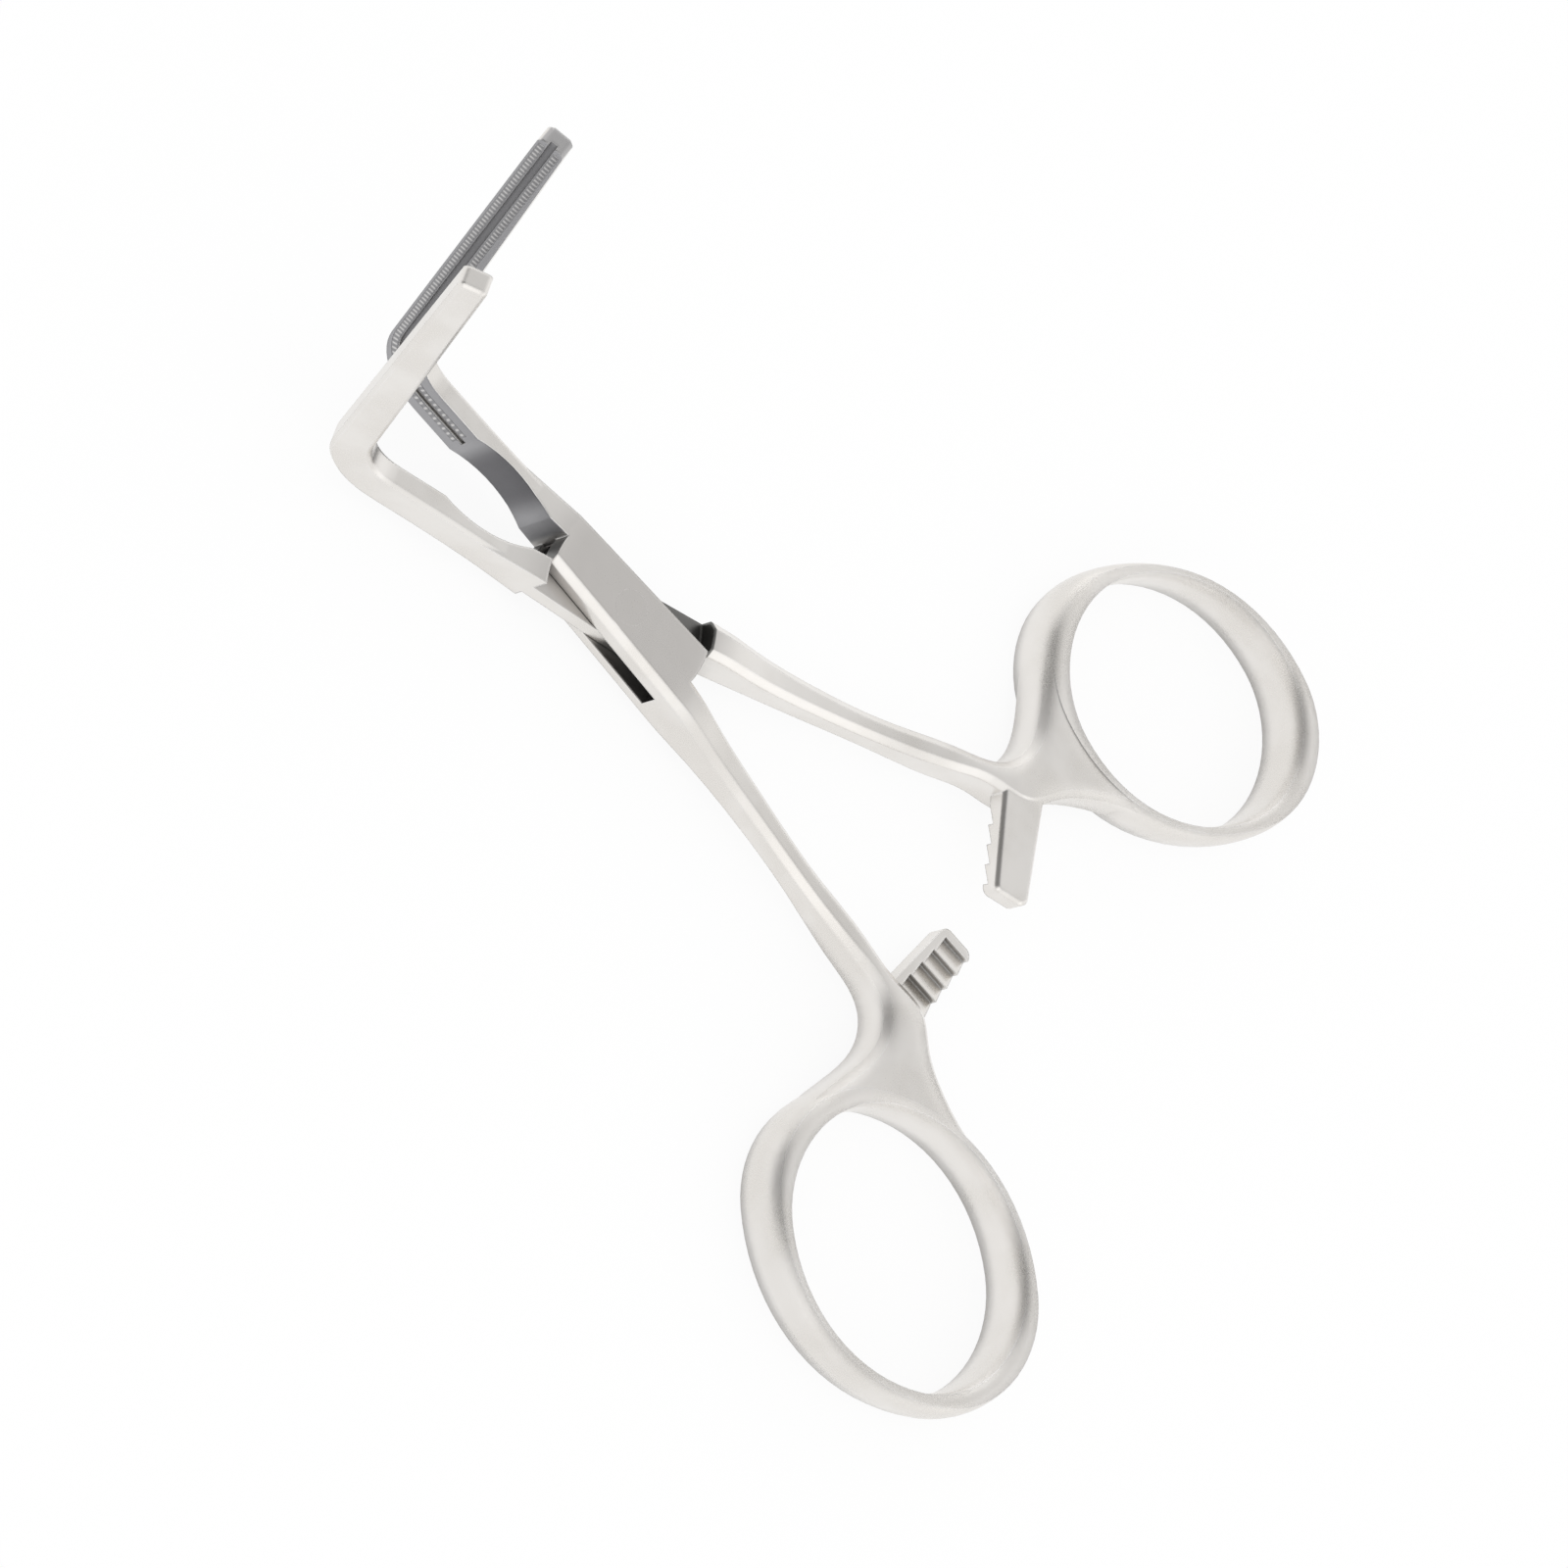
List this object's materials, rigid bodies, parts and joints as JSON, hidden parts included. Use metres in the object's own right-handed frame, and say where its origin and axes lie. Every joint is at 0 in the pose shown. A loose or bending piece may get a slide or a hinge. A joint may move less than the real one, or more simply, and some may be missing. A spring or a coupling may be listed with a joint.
{
  "type": "ring-handled box-lock clamp with upturned jaws",
  "caption": "Ring-handled steel clamp: two forged halves cross in a box lock, with a toothed ratchet between the shanks and long slim jaws turned up at an angle.",
  "frame": {"origin": "on the pivot axis, at the back face of the box lock", "axes": "+Z from the back face to the front, the way the jaws turn up; +Y from the pivot towards the jaws; +X across the handles"},
  "size_m": [0.09, 0.1167, 0.0452],
  "materials": {
    "satin_steel": "satin",
    "pin_steel": "satin"
  },
  "bodies": {
    "female": {"female_half": "satin_steel", "pivot_pin": "pin_steel"},
    "male": {"male_half": "satin_steel"}
  },
  "joints": [
    {"name": "box_lock_pivot", "type": "hinge", "parent": "female", "child": "male", "pos_m": [0, 0, 0.0028], "axis": [0, 0, 1], "range_deg": [-17.6, 12]}
  ]
}
